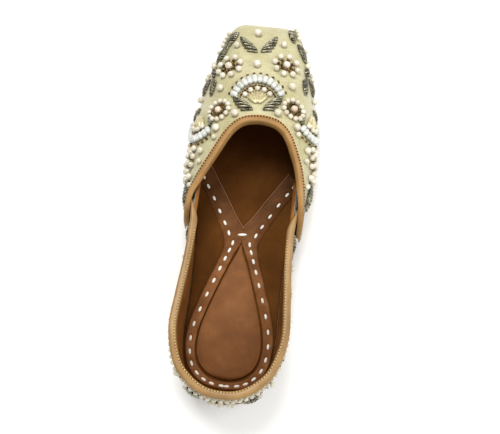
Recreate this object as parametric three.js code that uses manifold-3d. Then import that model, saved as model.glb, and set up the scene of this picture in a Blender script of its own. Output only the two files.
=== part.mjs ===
// One embroidered mojari, empty and flat on its sole, in millimetres.
// +Z is up, +Y points to the toe, X runs across. The last is straight, so both sides are alike.
import * as THREE from "three";
import Module from "manifold-3d";

const wasm = await Module();
wasm.setup();

const GAP = 0.3; // clearance between two curved pieces that lie together
const WALL = 2; // silk or leather over its lining
const LIFT_THICK = 4; // heel lift, one layer of sole leather
const OUTSOLE_THICK = 3.6;
const OUTSOLE_ROUND = 0.6; // how far the worn edges of the outsole are drawn in
const INSOLE_THICK = 1.8;
const PAD_THICK = 1.2; // heel pad, and the foot of the lining beside it
const WELT = 1; // outsole seen beyond the foot of the vamp and quarter
const TRIM = 1; // binding leather
const VAMP_LEG = 3.9; // how far each binding reaches down over its panel
const QUARTER_LEG = 4.6;
const INNER_LEG = 4; // and how far it is turned in over the lining
const LIFT_INSET = 0.8;
const PULL = 1; // draws a rib a little square to the outline, rather than only along itself
const STEP = 0.01; // for slopes taken along the tables
const TINY = 0.05; // half width of the narrowest row of a flat piece
const LEAST_TURN = 0.06; // see turn in the table of the vamp
const TRIM_SHARE = 0.8; // most of a rib that a binding may cover
const LIFT_FROM = 13.3; // place on the outline where the heel lift begins
const HEEL_END = 17.98; // last place on the outline used for a row, next to the middle

// Underside of the outsole above the floor: toe spring, flat forefoot, arch, level heel seat.
const SOLE_LINE = [
  { y: 128, z: 3.6 },
  { y: 114, z: 1.6 },
  { y: 97, z: 0.3 },
  { y: 83, z: 0 },
  { y: 49, z: 0 },
  { y: 17, z: 0 },
  { y: -7, z: 0.7 },
  { y: -29, z: 2.3 },
  { y: -49, z: 3.6 },
  { y: -61, z: LIFT_THICK },
  { y: -93, z: LIFT_THICK },
  { y: -128, z: LIFT_THICK },
];

// Outline of the outsole from the middle of the toe to the middle of the heel.
// inner: how far inside that outline the insole ends.
const OUTLINE = [
  { x: 0, y: 128, inner: 4.2 },
  { x: 10.4, y: 128, inner: 4.2 },
  { x: 18.4, y: 126.8, inner: 4.2 },
  { x: 23.8, y: 121.8, inner: 4.4 },
  { x: 29, y: 109, inner: 4.6 },
  { x: 34, y: 91, inner: 4.6 },
  { x: 37.7, y: 71, inner: 4.6 },
  { x: 40.4, y: 50, inner: 4.8 },
  { x: 41.1, y: 29, inner: 5.2 },
  { x: 40.7, y: 10, inner: 5.7 },
  { x: 38, y: -8, inner: 6.1 },
  { x: 35.1, y: -26, inner: 5.7 },
  { x: 33, y: -45, inner: 4.6 },
  { x: 32.2, y: -65, inner: 4.2 },
  { x: 32.6, y: -86, inner: 4.2 },
  { x: 30.4, y: -105, inner: 4.2 },
  { x: 23.6, y: -119, inner: 4.4 },
  { x: 12.6, y: -126.2, inner: 4.6 },
  { x: 0, y: -128, inner: 4.6 },
];
const HEEL = OUTLINE.length - 1;

// Ribs of the vamp, from the middle of the toe round one side to the foot of the rear flap.
// s: place on the outline where the rib is lasted under; x, y, z: where it meets the throat edge.
// rise, lean: how it leaves the sole; reach, fall: how it comes in to the edge; turn: 1 where the
// binding is turned in over the lining, near 0 where it only caps the edge; off: how far the
// throat, cut by hand a little to one side, stands off the middle of the shoe.
const VAMP = [
  { s: 0, x: 0, y: 44.6, z: 44.4, rise: 8.5, lean: 0.8, reach: 45, fall: 17.5, turn: 1, off: 3.8 },
  { s: 1, x: 3.3, y: 44.4, z: 44.3, rise: 8.5, lean: 0.8, reach: 45, fall: 17.5, turn: 1, off: 3.8 },
  { s: 2, x: 6.8, y: 43.9, z: 44.1, rise: 8.7, lean: 0.9, reach: 42, fall: 17, turn: 1, off: 3.8 },
  { s: 3, x: 10.2, y: 42.9, z: 43.8, rise: 9.5, lean: 1.2, reach: 37, fall: 15.5, turn: 1, off: 3.8 },
  { s: 4, x: 13.6, y: 40.9, z: 43.3, rise: 11.5, lean: 1.8, reach: 31, fall: 13, turn: 1, off: 3.8 },
  { s: 5, x: 16.9, y: 37.6, z: 42.7, rise: 13.5, lean: 2.4, reach: 25, fall: 10, turn: 1, off: 3.8 },
  { s: 6, x: 20.2, y: 32.4, z: 41.9, rise: 15.5, lean: 2.7, reach: 19, fall: 7.5, turn: 1, off: 3.7 },
  { s: 7, x: 23.6, y: 25, z: 41, rise: 16.5, lean: 2.8, reach: 14.5, fall: 6, turn: 1, off: 3.5 },
  { s: 8, x: 27, y: 16.6, z: 40.2, rise: 16.5, lean: 2.7, reach: 11, fall: 5.6, turn: 0.4, off: 3 },
  { s: 9, x: 30.7, y: 6.5, z: 39.4, rise: 15, lean: 2.1, reach: 7.5, fall: 6.5, turn: 0.06, off: 1.7 },
  { s: 9.75, x: 34.4, y: -4, z: 37.4, rise: 12, lean: 1.3, reach: 3.4, fall: 9, turn: 0.06, off: 0.2 },
  { s: 9.95, x: 35.5, y: -13, z: 32.6, rise: 9, lean: 0.9, reach: 5, fall: 6, turn: 0.06, off: 0 },
  { s: 10.05, x: 36, y: -18.4, z: 25, rise: 7, lean: 0.7, reach: 6, fall: 2.7, turn: 0.06, off: 0 },
  { s: 10.12, x: 36.3, y: -20, z: 16, rise: 4, lean: 0.5, reach: 5.5, fall: 0.8, turn: 0.06, off: 0 },
  { s: 10.17, x: 36.4, y: -20.4, z: 9.6, rise: 1.6, lean: 0.3, reach: 4, fall: 0.2, turn: 0.06, off: 0 },
  { s: 10.2, x: 36.4, y: -20.4, z: 6, rise: 0.4, lean: 0.2, reach: 3, fall: 0, turn: 0.06, off: 0 },
];

// Ribs of the quarter, from the middle of the heel round to its front end under the vamp.
// s counts back from the heel; inset: how far the foot of the rib stands inside the outline.
const QUARTER = [
  { s: 0, x: 0, y: -122.1, z: 52.2, rise: 14, lean: 2.6, reach: 2.6, fall: 13, inset: 2.4 },
  { s: 1, x: 9.8, y: -120.8, z: 52.1, rise: 14, lean: 2.6, reach: 2.6, fall: 13, inset: 2.2 },
  { s: 2, x: 19.6, y: -115.3, z: 51.7, rise: 14, lean: 2.6, reach: 2.4, fall: 13, inset: 2 },
  { s: 3, x: 28.2, y: -105.2, z: 50.6, rise: 14, lean: 2.6, reach: 1.6, fall: 13, inset: 1.7 },
  { s: 4, x: 33.4, y: -87, z: 47.9, rise: 13, lean: 2.4, reach: 0.9, fall: 12, inset: 1.5 },
  { s: 5, x: 32.8, y: -65.5, z: 43, rise: 12, lean: 1.8, reach: 0.6, fall: 11, inset: 1.5 },
  { s: 6, x: 31.3, y: -45, z: 39.4, rise: 12, lean: 1.2, reach: 0.8, fall: 10, inset: 1.9 },
  { s: 7, x: 30.7, y: -26, z: 37.5, rise: 12, lean: 0.8, reach: 1.4, fall: 10, inset: 3 },
  { s: 8, x: 30.5, y: -8, z: 36.7, rise: 12, lean: 0.6, reach: 2.4, fall: 10, inset: 3.4 },
  { s: 8.5, x: 30.4, y: 1, z: 35.8, rise: 12, lean: 0.8, reach: 3.2, fall: 10, inset: 3.2 },
  { s: 9, x: 30.1, y: 10, z: 34.2, rise: 12, lean: 1.2, reach: 4.4, fall: 10, inset: 2.8 },
];
const QUARTER_TRIM_END = 8.1; // the binding of the quarter stops here, inside the vamp

// Teardrop heel pad: half width at each place along the shoe.
const PAD = [
  { y: -28, x: 0.3 },
  { y: -34, x: 2.1 },
  { y: -43, x: 6 },
  { y: -55, x: 10.3 },
  { y: -69, x: 15.1 },
  { y: -83, x: 18.9 },
  { y: -95, x: 19.9 },
  { y: -104, x: 17.5 },
  { y: -109.6, x: 12.2 },
  { y: -112.3, x: 6.6 },
  { y: -113.4, x: 0.5 },
];

// Foot of the quarter lining, stitched down on the insole: a strip on each side from the wall
// of the waist, past the point where both meet, and round the heel pad.
// ix, iy: its edge towards the forefoot or the pad; ox, oy: its edge towards the wall.
const MARGIN = [
  { ix: 26, iy: 23.4, ox: 34.6, oy: 16 },
  { ix: 20.6, iy: 15, ox: 30, oy: 8.4 },
  { ix: 13, iy: 3.2, ox: 23.8, oy: -1.6 },
  { ix: 5.6, iy: -8.8, ox: 17.8, oy: -12.6 },
  { ix: -0.4, iy: -17.8, ox: 13, oy: -22 },
  { ix: -0.4, iy: -25.6, ox: 11.4, oy: -29 },
  { ix: 3.6, iy: -34.4, ox: 12.2, oy: -35 },
  { ix: 7.1, iy: -43.6, ox: 15.2, oy: -44 },
  { ix: 11.4, iy: -55.6, ox: 19.2, oy: -55.6 },
  { ix: 16.1, iy: -69.4, ox: 23.8, oy: -69.4 },
  { ix: 20, iy: -83, ox: 27.2, oy: -83 },
  { ix: 21, iy: -95, ox: 27.4, oy: -96 },
  { ix: 18.8, iy: -104.7, ox: 24.4, oy: -107.2 },
  { ix: 13.7, iy: -110.9, ox: 17.4, oy: -115 },
  { ix: 7.5, iy: -114, ox: 9.4, oy: -118.6 },
  { ix: -0.4, iy: -115.1, ox: -0.4, oy: -119.8 },
];

const DETAIL = {
  vampAcross: 64,
  vampUp: 11,
  quarterAcross: 52,
  quarterUp: 8,
  vampTrim: 64,
  quarterTrim: 46,
  outsole: 60,
  lift: 22,
  insole: 52,
  pad: 30,
  margin: 54,
};

const ODD = new Set(["x", "s"]); // these change sign from one side of the shoe to the other

function cubic(a, b, c, d, f) {
  const slope0 = (c - a) / 2;
  const slope1 = (d - b) / 2;
  const f2 = f * f;
  const f3 = f2 * f;
  return (2 * f3 - 3 * f2 + 1) * b + (f3 - 2 * f2 + f) * slope0
    + (3 * f2 - 2 * f3) * c + (f3 - f2) * slope1;
}

// A smooth value from a table whose first row lies on the middle line of the shoe.
function along(rows, at, key, closed) {
  const last = rows.length - 1;
  const odd = ODD.has(key);
  const row = (k) => {
    if (k < 0) {
      return odd ? -rows[-k][key] : rows[-k][key];
    }
    if (k <= last) {
      return rows[k][key];
    }
    const back = rows[2 * last - k][key];
    if (closed) {
      return odd ? -back : back;
    }
    return 2 * rows[last][key] - back;
  };
  const m = Math.min(Math.abs(at), last);
  const i = Math.min(Math.floor(m), last - 1);
  const value = cubic(row(i - 1), row(i), row(i + 1), row(i + 2), m - i);
  return odd && at < 0 ? -value : value;
}

// A smooth value from a table that runs from one end to the other, by a 0 to 1 share.
function through(rows, share, key) {
  const last = rows.length - 1;
  const at = share * last;
  const i = Math.min(Math.floor(at), last - 1);
  const row = (k) => {
    if (k < 0) {
      return 2 * rows[0][key] - rows[1][key];
    }
    return k > last ? 2 * rows[last][key] - rows[last - 1][key] : rows[k][key];
  };
  return cubic(row(i - 1), row(i), row(i + 1), row(i + 2), at - i);
}

// Height of the underside of the outsole, a curve through SOLE_LINE that never overshoots.
function underside(y) {
  const rows = SOLE_LINE;
  let i = 0;
  while (i < rows.length - 2 && y < rows[i + 1].y) {
    i += 1;
  }
  const width = (k) => rows[k].y - rows[k + 1].y;
  const rate = (k) => (rows[k + 1].z - rows[k].z) / width(k);
  const slope = (k) => {
    if (k < 1 || k > rows.length - 2) {
      return rate(Math.min(Math.max(k, 0), rows.length - 2));
    }
    const p = rate(k - 1);
    const q = rate(k);
    return p * q <= 0 ? 0 : (2 * p * q) / (p + q);
  };
  const f = Math.min(Math.max((rows[i].y - y) / width(i), 0), 1);
  const f2 = f * f;
  const f3 = f2 * f;
  return (2 * f3 - 3 * f2 + 1) * rows[i].z + (f3 - 2 * f2 + f) * slope(i) * width(i)
    + (3 * f2 - 2 * f3) * rows[i + 1].z + (f3 - f2) * slope(i + 1) * width(i);
}

const seat = (y) => underside(y) + OUTSOLE_THICK;
const bed = (y) => seat(y) + GAP + INSOLE_THICK;

// A point of the outline, drawn in by inset along its own normal; at runs from 0 to HEEL.
function outline(at, inset) {
  const m = Math.abs(at);
  const side = at < 0 ? -1 : 1;
  const ahead = Math.min(m + STEP, HEEL);
  const dx = along(OUTLINE, ahead, "x", true) - along(OUTLINE, m - STEP, "x", true);
  const dy = along(OUTLINE, ahead, "y", true) - along(OUTLINE, m - STEP, "y", true);
  const size = Math.hypot(dx, dy);
  const nx = (-dy / size) * side;
  const ny = dx / size;
  const x = along(OUTLINE, m, "x", true) * side;
  const y = along(OUTLINE, m, "y", true);
  return { x: x - nx * inset, y: y - ny * inset, nx, ny };
}

// A point on the outside of a panel: at runs across it, t up the rib from sole to edge.
function panel(rows, at, t) {
  const s = along(rows, at, "s", false);
  const side = s < 0 ? -1 : 1;
  const place = rows === QUARTER ? side * (HEEL - Math.abs(s)) : s;
  const foot = outline(place, rows === QUARTER ? along(rows, at, "inset", false) : WELT);
  const value = (key) => along(rows, at, key, false);
  const p0 = new THREE.Vector3(foot.x, foot.y, seat(foot.y) + GAP);
  const aside = rows === VAMP ? value("off") : 0;
  const p3 = new THREE.Vector3(value("x") + aside, value("y"), value("z"));
  const p1 = new THREE.Vector3(foot.nx, foot.ny, 0).multiplyScalar(value("lean")).add(p0);
  p1.z += value("rise");
  const way = new THREE.Vector3(foot.nx, foot.ny, 0).multiplyScalar(PULL);
  way.x += p0.x - p3.x;
  way.y += p0.y - p3.y;
  const p2 = way.normalize().multiplyScalar(value("reach")).add(p3);
  p2.z -= value("fall");
  const r = 1 - t;
  return p0.multiplyScalar(r * r * r).addScaledVector(p1, 3 * r * r * t)
    .addScaledVector(p2, 3 * r * t * t).addScaledVector(p3, t * t * t);
}

// The outward normal of a panel.
function facing(rows, at, t) {
  const last = rows.length - 1;
  const low = Math.max(t - STEP, 0);
  const high = Math.min(t + STEP, 1);
  const before = Math.max(at - STEP, -last);
  const after = Math.min(at + STEP, last);
  const up = panel(rows, at, high).sub(panel(rows, at, low));
  const over = panel(rows, after, t).sub(panel(rows, before, t));
  const normal = rows === QUARTER ? over.cross(up) : up.cross(over);
  return normal.normalize();
}

// A geometry from a flat list of coordinates and a flat list of the corners of its triangles.
function geometryOf(points, faces) {
  const geometry = new THREE.BufferGeometry();
  geometry.setAttribute("position", new THREE.Float32BufferAttribute(points, 3));
  geometry.setIndex(faces);
  geometry.computeVertexNormals();
  return geometry;
}

// A panel with its wall, as one closed shell.
function shell(rows, across, up) {
  const last = rows.length - 1;
  const points = [];
  const faces = [];
  for (const depth of [0, WALL]) {
    for (let i = 0; i <= across; i += 1) {
      const at = (2 * i / across - 1) * last;
      for (let j = 0; j <= up; j += 1) {
        const t = j / up;
        const p = panel(rows, at, t).addScaledVector(facing(rows, at, t), -depth);
        points.push(p.x, p.y, j === 0 ? seat(p.y) + GAP : p.z);
      }
    }
  }
  const inner = (across + 1) * (up + 1);
  const id = (i, j) => i * (up + 1) + j;
  const flip = rows === QUARTER;
  const quad = (a, b, c, d) => {
    if (flip) {
      faces.push(a, b, c, a, c, d);
    } else {
      faces.push(a, c, b, a, d, c);
    }
  };
  for (let i = 0; i < across; i += 1) {
    for (let j = 0; j < up; j += 1) {
      quad(id(i, j), id(i + 1, j), id(i + 1, j + 1), id(i, j + 1));
      const k = [id(i, j), id(i, j + 1), id(i + 1, j + 1), id(i + 1, j)];
      quad(...k.map((n) => n + inner));
    }
    quad(id(i, 0) + inner, id(i + 1, 0) + inner, id(i + 1, 0), id(i, 0));
    quad(id(i, up), id(i + 1, up), id(i + 1, up) + inner, id(i, up) + inner);
  }
  for (let j = 0; j < up; j += 1) {
    quad(id(0, j), id(0, j + 1), id(0, j + 1) + inner, id(0, j) + inner);
    quad(id(across, j) + inner, id(across, j + 1) + inner, id(across, j + 1), id(across, j));
  }
  return geometryOf(points, faces);
}

function solid(geometry) {
  const vertProperties = Float32Array.from(geometry.getAttribute("position").array);
  const triVerts = Uint32Array.from(geometry.getIndex().array);
  return new wasm.Manifold(new wasm.Mesh({ numProp: 3, vertProperties, triVerts }));
}

function joined(a, b) {
  const mesh = solid(a).add(solid(b)).getMesh();
  return geometryOf(Array.from(mesh.vertProperties), Array.from(mesh.triVerts));
}

// Folded leather over the edge of a panel: a thin strip lying on the outside, over the edge and
// down the lining, swept from one end of the edge to the other.
function binding(rows, from, to, count, leg) {
  const points = [];
  const faces = [];
  const skin = GAP + TRIM;
  let size = 0;
  for (let i = 0; i <= count; i += 1) {
    const at = from + (to - from) * (i / count);
    const edge = panel(rows, at, 1);
    const height = edge.distanceTo(panel(rows, at, 0));
    const turn = rows === VAMP ? Math.max(along(rows, at, "turn", false), LEAST_TURN) : 1;
    const outer = Math.min(leg, height * TRIM_SHARE);
    const inner = Math.min(INNER_LEG * turn - GAP * (1 - turn), height * TRIM_SHARE);
    const normal = facing(rows, at, 1);
    const above = panel(rows, at, 1).sub(panel(rows, at, 1 - STEP)).normalize();
    const place = (depth, off) => {
      if (depth < 0) {
        return edge.clone().addScaledVector(above, -depth).addScaledVector(normal, off);
      }
      const t = 1 - ribShare(rows, at, depth);
      return panel(rows, at, t).addScaledVector(facing(rows, at, t), off);
    };
    const inside = -WALL - turn * GAP;
    const lining = -WALL - turn * skin;
    const ring = [
      place(outer, skin),
      place(outer / 2, skin),
      place(0, skin),
      place(-skin, GAP),
      place(-skin, inside),
      place(Math.min(0, inner - GAP), lining),
      place(inner, lining),
      place(inner, inside),
      place(-GAP, inside),
      place(-GAP, GAP),
      place(outer / 2, GAP),
      place(outer, GAP),
    ];
    size = ring.length;
    ring.forEach((p) => points.push(p.x, p.y, p.z));
  }
  const flip = rows === QUARTER;
  const tri = (a, b, c) => (flip ? faces.push(a, b, c) : faces.push(a, c, b));
  for (let i = 0; i < count; i += 1) {
    for (let j = 0; j < size; j += 1) {
      const k = (j + 1) % size;
      const a = i * size + j;
      const b = i * size + k;
      tri(a, a + size, b);
      tri(b, a + size, b + size);
    }
  }
  const cap = [[0, 1, 10], [0, 10, 11], [1, 2, 9], [1, 9, 10], [2, 3, 9], [3, 4, 8], [3, 8, 9],
    [4, 5, 8], [5, 6, 7], [5, 7, 8]];
  const end = count * size;
  for (const [a, b, c] of cap) {
    tri(a, b, c);
    tri(end + a, end + c, end + b);
  }
  return geometryOf(points, faces);
}

// The share of a rib that covers a given length back from its edge.
function ribShare(rows, at, length) {
  const steps = 40;
  let share = 0;
  let left = length;
  let here = panel(rows, at, 1);
  while (left > 0 && share < 1) {
    const next = panel(rows, at, 1 - share - 1 / steps);
    const part = here.distanceTo(next);
    share += Math.min(left / part, 1) / steps;
    left -= part;
    here = next;
  }
  return Math.min(share, 1);
}

// A flat piece whose rows run across the shoe: each row is { x, y } with x its half width.
// layers: [height above the floor at y, how far the piece is drawn in], from the top down.
function plate(rows, layers) {
  const points = [];
  const faces = [];
  const per = layers.length * 2;
  rows.forEach((row) => {
    for (const [height, inset] of layers) {
      const x = Math.max(row.x - inset * row.nx, TINY);
      const y = row.y - inset * row.ny;
      points.push(x, y, height(y), -x, y, height(y));
    }
  });
  const end = (rows.length - 1) * per;
  const quad = (a, b, c, d) => faces.push(a, b, c, a, c, d);
  const bottom = per - 2;
  for (let i = 0; i < end; i += per) {
    quad(i, i + 1, i + per + 1, i + per);
    quad(i + bottom, i + bottom + per, i + bottom + per + 1, i + bottom + 1);
    for (let k = 0; k < bottom; k += 2) {
      quad(i + k, i + k + per, i + k + per + 2, i + k + 2);
      quad(i + k + 1, i + k + 3, i + k + per + 3, i + k + per + 1);
    }
  }
  for (let k = 0; k < bottom; k += 2) {
    quad(k, k + 2, k + 3, k + 1);
    quad(end + k, end + k + 1, end + k + 3, end + k + 2);
  }
  return geometryOf(points, faces);
}

// Rows of a plate that follow the outline of the outsole between two places on it.
function outlineRows(from, to, count, inset) {
  const rows = [];
  for (let i = 0; i <= count; i += 1) {
    const at = from + (to - from) * (i / count);
    rows.push(outline(at, inset(at)));
  }
  return rows;
}

function liftGeometry() {
  const rows = outlineRows(LIFT_FROM, HEEL_END, DETAIL.lift, () => LIFT_INSET);
  return plate(rows, [[() => LIFT_THICK, 0], [() => 0, 0]]);
}

function padRows() {
  const rows = [];
  for (let i = 0; i <= DETAIL.pad; i += 1) {
    const share = i / DETAIL.pad;
    rows.push({ x: through(PAD, share, "x"), y: through(PAD, share, "y"), nx: 0, ny: 0 });
  }
  return rows;
}

// One side of the stitched-down foot of the quarter lining.
function marginGeometry(side) {
  const points = [];
  const faces = [];
  const count = DETAIL.margin;
  for (let i = 0; i <= count; i += 1) {
    const value = (key) => through(MARGIN, i / count, key);
    const low = (y) => bed(y) + GAP;
    const inner = [value("ix") * side, value("iy")];
    const outer = [value("ox") * side, value("oy")];
    points.push(...outer, low(outer[1]), ...outer, low(outer[1]) + PAD_THICK);
    points.push(...inner, low(inner[1]) + PAD_THICK, ...inner, low(inner[1]));
  }
  const tri = (a, b, c) => (side < 0 ? faces.push(a, b, c) : faces.push(a, c, b));
  const end = count * 4;
  for (let i = 0; i < end; i += 4) {
    for (let j = 0; j < 4; j += 1) {
      const a = i + j;
      const b = i + ((j + 1) % 4);
      tri(a, a + 4, b + 4);
      tri(a, b + 4, b);
    }
  }
  tri(0, 1, 2);
  tri(0, 2, 3);
  tri(end, end + 2, end + 1);
  tri(end, end + 3, end + 2);
  return geometryOf(points, faces);
}

function leather(color, roughness) {
  return new THREE.MeshStandardMaterial({ color, roughness, metalness: 0 });
}

const group = new THREE.Group();
function add(name, geometry, material) {
  const mesh = new THREE.Mesh(geometry, material);
  mesh.name = name;
  group.add(mesh);
}

const soleRows = outlineRows(1, HEEL_END, DETAIL.outsole, () => 0);
add("outsole", plate(soleRows, [
  [seat, OUTSOLE_ROUND],
  [(y) => seat(y) - OUTSOLE_ROUND, 0],
  [(y) => underside(y) + OUTSOLE_ROUND, 0],
  [underside, OUTSOLE_ROUND],
]), leather(0x7a5232, 0.7));
add("heel_lift", liftGeometry(), leather(0x5a3a22, 0.75));

const insoleInset = (at) => along(OUTLINE, at, "inner", true);
const insoleRows = outlineRows(1, HEEL_END, DETAIL.insole, insoleInset);
add("insole", plate(insoleRows, [
  [bed, 0],
  [(y) => seat(y) + GAP, 0],
]), leather(0x5a3820, 0.6));
add("heel_pad", plate(padRows(), [
  [(y) => bed(y) + GAP + PAD_THICK, 0],
  [(y) => bed(y) + GAP, 0],
]), leather(0x83502f, 0.55));
add("lining_margin", joined(marginGeometry(1), marginGeometry(-1)), leather(0x4a2c1a, 0.6));

const vampShell = shell(VAMP, DETAIL.vampAcross, DETAIL.vampUp);
const quarterShell = shell(QUARTER, DETAIL.quarterAcross, DETAIL.quarterUp);
add("upper", joined(vampShell, quarterShell), leather(0xd9cf9c, 0.55));

const vampEnd = VAMP.length - 1;
add("vamp_binding", binding(VAMP, -vampEnd, vampEnd, DETAIL.vampTrim, VAMP_LEG),
  leather(0xc0935a, 0.45));
add("quarter_binding", binding(QUARTER, -QUARTER_TRIM_END, QUARTER_TRIM_END,
  DETAIL.quarterTrim, QUARTER_LEG), leather(0xc39a5f, 0.45));

export default group;
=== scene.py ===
"""An embroidered mojari: silk over leather, beads and wire coils sewn on, hand-stitched inside.

Lengths in the tables are millimetres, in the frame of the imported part: +Z up, +Y to the toe.
"""
import math

import bmesh
import bpy
import numpy as np
from mathutils import Matrix, Vector
from mathutils.bvhtree import BVHTree

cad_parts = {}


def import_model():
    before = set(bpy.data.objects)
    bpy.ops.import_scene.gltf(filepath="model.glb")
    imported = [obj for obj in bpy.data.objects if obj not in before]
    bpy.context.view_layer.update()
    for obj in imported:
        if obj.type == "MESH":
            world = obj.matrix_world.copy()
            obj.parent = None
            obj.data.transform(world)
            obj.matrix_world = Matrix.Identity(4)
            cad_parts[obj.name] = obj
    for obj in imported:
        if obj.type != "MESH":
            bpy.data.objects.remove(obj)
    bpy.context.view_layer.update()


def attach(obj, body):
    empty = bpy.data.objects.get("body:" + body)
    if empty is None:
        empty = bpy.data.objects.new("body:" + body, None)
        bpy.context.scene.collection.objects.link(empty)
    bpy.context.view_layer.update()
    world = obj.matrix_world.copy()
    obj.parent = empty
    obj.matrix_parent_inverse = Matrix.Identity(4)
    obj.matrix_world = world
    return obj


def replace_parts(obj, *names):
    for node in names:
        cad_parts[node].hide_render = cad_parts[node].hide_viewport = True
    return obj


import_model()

MM = 0.001

# Sizes and shares of the part, under the names that its source gives them.
GAP = 0.3
WALL = 2
OUTSOLE_THICK = 3.6
INSOLE_THICK = 1.8
PAD_THICK = 1.2
LIFT_THICK = 4
WELT = 1
TRIM = 1
VAMP_LEG = 3.9
QUARTER_LEG = 4.6
INNER_LEG = 4
PULL = 1
STEP = 0.01
LEAST_TURN = 0.06
TRIM_SHARE = 0.8
TUCKED_END = 8.1  # where the folded leather of the quarter runs out under the vamp
TAPER = 0.9  # ribs over which the end of the quarter binding thins out
TUCK_DOWN = 1.5  # how far that end drops
TUCK_OUT = 2.2  # and how far it swings out to lie against the vamp
LIFT_FROM = 13.3
LIFT_INSET = 0.8
HEEL_END = 17.98
ODD = ("x", "s")  # columns that change sign from one side of the shoe to the other

COIL_PITCH = 0.56  # from one turn of a wire coil to the next
COIL_SIDES = 8
WIRE_RADIUS = 0.84  # of a wire coil in a leaf
ROUND_STEPS = 4  # facets of a rounded edge
FAN_PEARLS = 5
RING_PEARLS = 12


def table(names, *rows):
    """Columns of a table by name."""
    return {name: np.array([row[i] for row in rows], float) for i, name in enumerate(names.split())}


# The same driving tables as the part: see there for what each column means.
SOLE_LINE = table("y z", (128, 3.6), (114, 1.6), (97, 0.3), (83, 0), (49, 0), (17, 0), (-7, 0.7),
                  (-29, 2.3), (-49, 3.6), (-61, 4), (-93, 4), (-128, 4))
OUTLINE = table(
    "x y inner", (0, 128, 4.2), (10.4, 128, 4.2), (18.4, 126.8, 4.2), (23.8, 121.8, 4.4),
    (29, 109, 4.6), (34, 91, 4.6), (37.7, 71, 4.6), (40.4, 50, 4.8), (41.1, 29, 5.2),
    (40.7, 10, 5.7), (38, -8, 6.1), (35.1, -26, 5.7), (33, -45, 4.6), (32.2, -65, 4.2),
    (32.6, -86, 4.2), (30.4, -105, 4.2), (23.6, -119, 4.4), (12.6, -126.2, 4.6), (0, -128, 4.6))
VAMP = table(
    "s x y z rise lean reach fall turn off",
    (0, 0, 44.6, 44.4, 8.5, 0.8, 45, 17.5, 1, 3.8),
    (1, 3.3, 44.4, 44.3, 8.5, 0.8, 45, 17.5, 1, 3.8),
    (2, 6.8, 43.9, 44.1, 8.7, 0.9, 42, 17, 1, 3.8),
    (3, 10.2, 42.9, 43.8, 9.5, 1.2, 37, 15.5, 1, 3.8),
    (4, 13.6, 40.9, 43.3, 11.5, 1.8, 31, 13, 1, 3.8),
    (5, 16.9, 37.6, 42.7, 13.5, 2.4, 25, 10, 1, 3.8),
    (6, 20.2, 32.4, 41.9, 15.5, 2.7, 19, 7.5, 1, 3.7),
    (7, 23.6, 25, 41, 16.5, 2.8, 14.5, 6, 1, 3.5),
    (8, 27, 16.6, 40.2, 16.5, 2.7, 11, 5.6, 0.4, 3),
    (9, 30.7, 6.5, 39.4, 15, 2.1, 7.5, 6.5, 0.06, 1.7),
    (9.75, 34.4, -4, 37.4, 12, 1.3, 3.4, 9, 0.06, 0.2),
    (9.95, 35.5, -13, 32.6, 9, 0.9, 5, 6, 0.06, 0),
    (10.05, 36, -18.4, 25, 7, 0.7, 6, 2.7, 0.06, 0),
    (10.12, 36.3, -20, 16, 4, 0.5, 5.5, 0.8, 0.06, 0),
    (10.17, 36.4, -20.4, 9.6, 1.6, 0.3, 4, 0.2, 0.06, 0),
    (10.2, 36.4, -20.4, 6, 0.4, 0.2, 3, 0, 0.06, 0))
QUARTER = table(
    "s x y z rise lean reach fall inset",
    (0, 0, -122.1, 52.2, 14, 2.6, 2.6, 13, 2.4),
    (1, 9.8, -120.8, 52.1, 14, 2.6, 2.6, 13, 2.2),
    (2, 19.6, -115.3, 51.7, 14, 2.6, 2.4, 13, 2),
    (3, 28.2, -105.2, 50.6, 14, 2.6, 1.6, 13, 1.7),
    (4, 33.4, -87, 47.9, 13, 2.4, 0.9, 12, 1.5),
    (5, 32.8, -65.5, 43, 12, 1.8, 0.6, 11, 1.5),
    (6, 31.3, -45, 39.4, 12, 1.2, 0.8, 10, 1.9),
    (7, 30.7, -26, 37.5, 12, 0.8, 1.4, 10, 3),
    (8, 30.5, -8, 36.7, 12, 0.6, 2.4, 10, 3.4),
    (8.5, 30.4, 1, 35.8, 12, 0.8, 3.2, 10, 3.2),
    (9, 30.1, 10, 34.2, 12, 1.2, 4.4, 10, 2.8))
PAD = table("y x", (-28, 0.3), (-34, 2.1), (-43, 6), (-55, 10.3), (-69, 15.1), (-83, 18.9),
            (-95, 19.9), (-104, 17.5), (-109.6, 12.2), (-112.3, 6.6), (-113.4, 0.5))
MARGIN = table(
    "ix iy ox oy", (26, 23.4, 34.6, 16), (20.6, 15, 30, 8.4), (13, 3.2, 23.8, -1.6),
    (5.6, -8.8, 17.8, -12.6), (-0.4, -17.8, 13, -22), (-0.4, -25.6, 11.4, -29),
    (3.6, -34.4, 12.2, -35), (7.1, -43.6, 15.2, -44), (11.4, -55.6, 19.2, -55.6),
    (16.1, -69.4, 23.8, -69.4), (20, -83, 27.2, -83), (21, -95, 27.4, -96),
    (18.8, -104.7, 24.4, -107.2), (13.7, -110.9, 17.4, -115), (7.5, -114, 9.4, -118.6),
    (-0.4, -115.1, -0.4, -119.8))
HEEL = len(OUTLINE["x"]) - 1

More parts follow.
